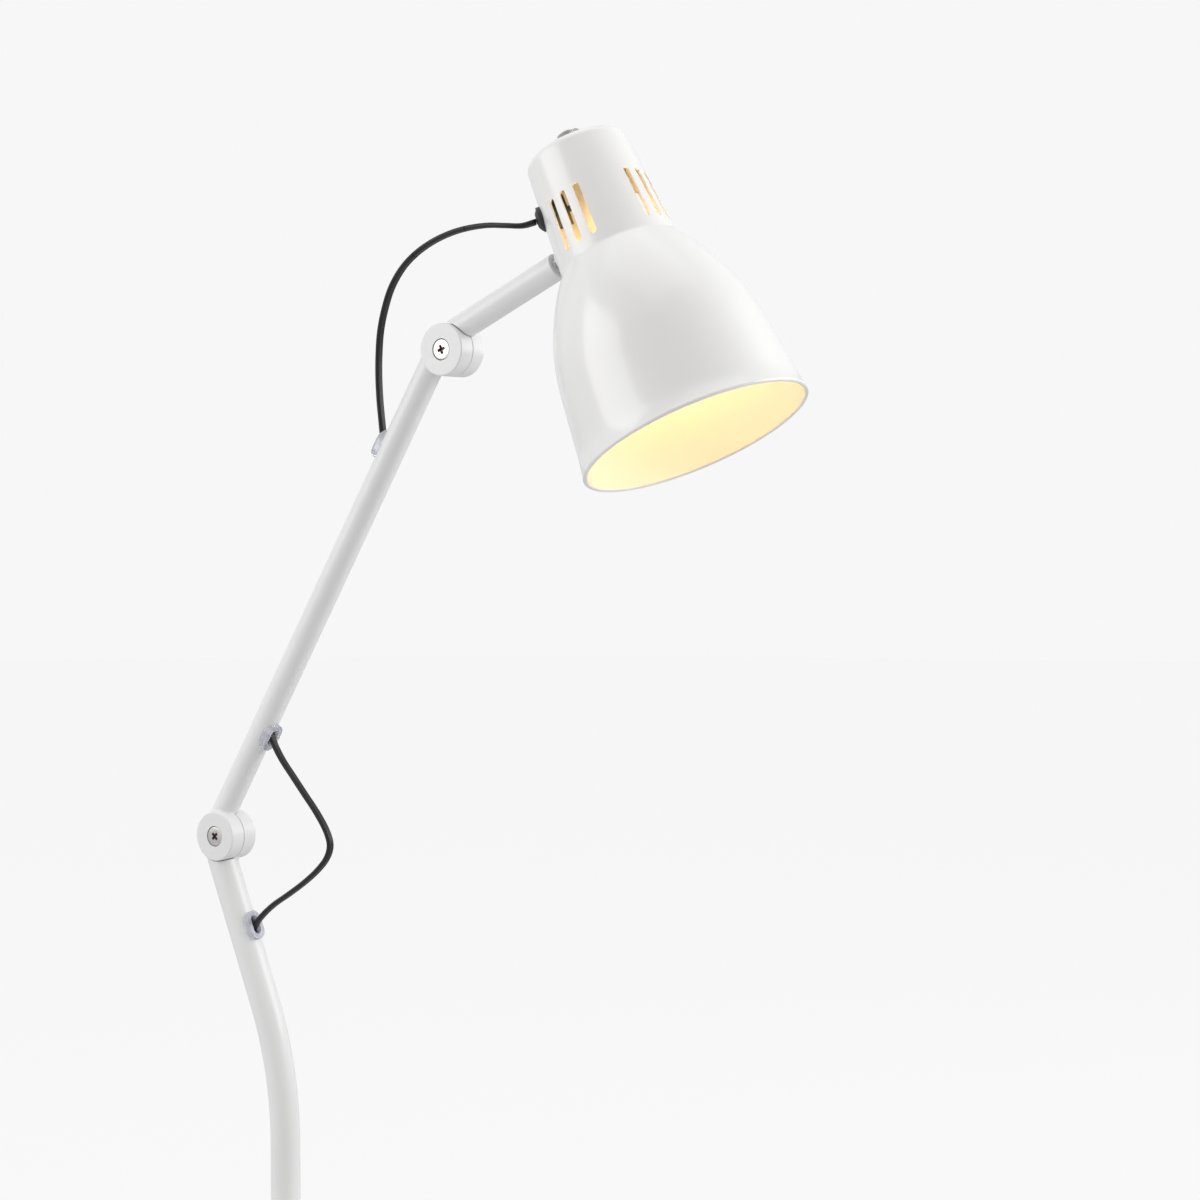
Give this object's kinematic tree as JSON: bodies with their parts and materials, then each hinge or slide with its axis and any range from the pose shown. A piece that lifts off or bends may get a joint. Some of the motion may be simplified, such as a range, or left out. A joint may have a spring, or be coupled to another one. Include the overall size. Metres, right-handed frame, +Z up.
{
  "type": "swing arm desk lamp",
  "caption": "Swing arm desk lamp with a weighted round base, a bent post, two tube arms on disc friction hinges and a vented bell shade.",
  "frame": {"origin": "on the table, under the centre of the round base", "axes": "+Z up, +X forward in the arm plane towards the shade, Y along the two hinge axes"},
  "size_m": [0.551, 0.2547, 0.7456],
  "materials": {
    "white_gloss": "gloss white powder coat",
    "white_satin": "satin white powder coat",
    "cast_iron": "rough cast",
    "nickel": "bright nickel plate",
    "steel": "zinc plated",
    "brass": "turned",
    "fibre": "pressed fibre",
    "nylon": "moulded",
    "porcelain": "glazed white",
    "clear_grommet": "clear soft plastic",
    "bulb_glass": "frosted, lit",
    "black_rubber": "moulded",
    "flex": "satin PVC",
    "foam_pad": "matt foam",
    "white_nylon": "moulded"
  },
  "bodies": {
    "stand": {"base_pad": "foam_pad", "base_weight": "cast_iron", "base_cover": "white_gloss", "post_tube": "white_satin", "post_plug": "steel", "base_nipple": "brass", "nipple_washer": "steel", "nipple_nut": "brass", "lead_gland": "black_rubber", "post_grommet": "clear_grommet", "lower_back_disc": "white_satin", "lower_screw": "nickel", "lower_nut": "steel", "post_cable": "flex", "lower_loop_cable": "flex", "mains_lead": "flex", "lead_coil": "flex", "lead_tail": "flex", "plug_body": "black_rubber", "plug_pins": "brass"},
    "middle_arm": {"middle_tube": "white_satin", "lower_front_disc": "white_satin", "upper_front_disc": "white_satin", "lower_spring_washer": "steel", "upper_spring_washer": "steel", "lower_fibre_washer": "fibre", "upper_fibre_washer": "fibre", "middle_lower_grommet": "clear_grommet", "middle_upper_grommet": "clear_grommet", "arm_cable": "flex", "upper_loop_cable": "flex"},
    "upper_arm": {"upper_tube": "white_satin", "upper_back_disc": "white_satin", "upper_screw": "nickel", "upper_nut": "steel"},
    "ball_cup": {"ball_cup": "white_nylon"},
    "head": {"ball_stud": "steel", "saddle_washer": "white_satin", "stud_washer": "steel", "stud_nut": "steel", "shade": "white_gloss", "cord_grip": "nylon", "cord_grip_nut": "nylon", "holder_body": "porcelain", "holder_cap": "porcelain", "holder_shell": "brass", "holder_contact": "brass", "holder_nipple": "nickel", "ring_nut": "nickel", "bulb_glass": "bulb_glass", "bulb_cap": "nickel", "head_cable": "flex"},
    "switch": {"switch_spindle": "nickel", "switch_knob": "nickel"}
  },
  "joints": [
    {"name": "lower_hinge", "type": "hinge", "parent": "stand", "child": "middle_arm", "pos_m": [-0.05034, 0, 0.31027], "axis": [0, 1, 0], "range_deg": [-45, 55], "deforming": ["lower_loop_cable"]},
    {"name": "upper_hinge", "type": "hinge", "parent": "middle_arm", "child": "upper_arm", "pos_m": [0.13827, 0, 0.61925], "axis": [0, 1, 0], "range_deg": [-30, 50], "deforming": ["upper_loop_cable"]},
    {"name": "head_swivel", "type": "hinge", "parent": "upper_arm", "child": "ball_cup", "pos_m": [0.21467, 0, 0.66481], "axis": [0.9063, 0, 0.4226], "range_deg": [-60, 60]},
    {"name": "head_tilt", "type": "hinge", "parent": "ball_cup", "child": "head", "pos_m": [0.21467, 0, 0.66481], "axis": [0, 1, 0], "range_deg": [-20, 20]},
    {"name": "switch_turn", "type": "hinge", "parent": "head", "child": "switch", "pos_m": [0.22964, 0, 0.73287], "axis": [-0.4509, 0, 0.8926], "continuous": true}
  ]
}
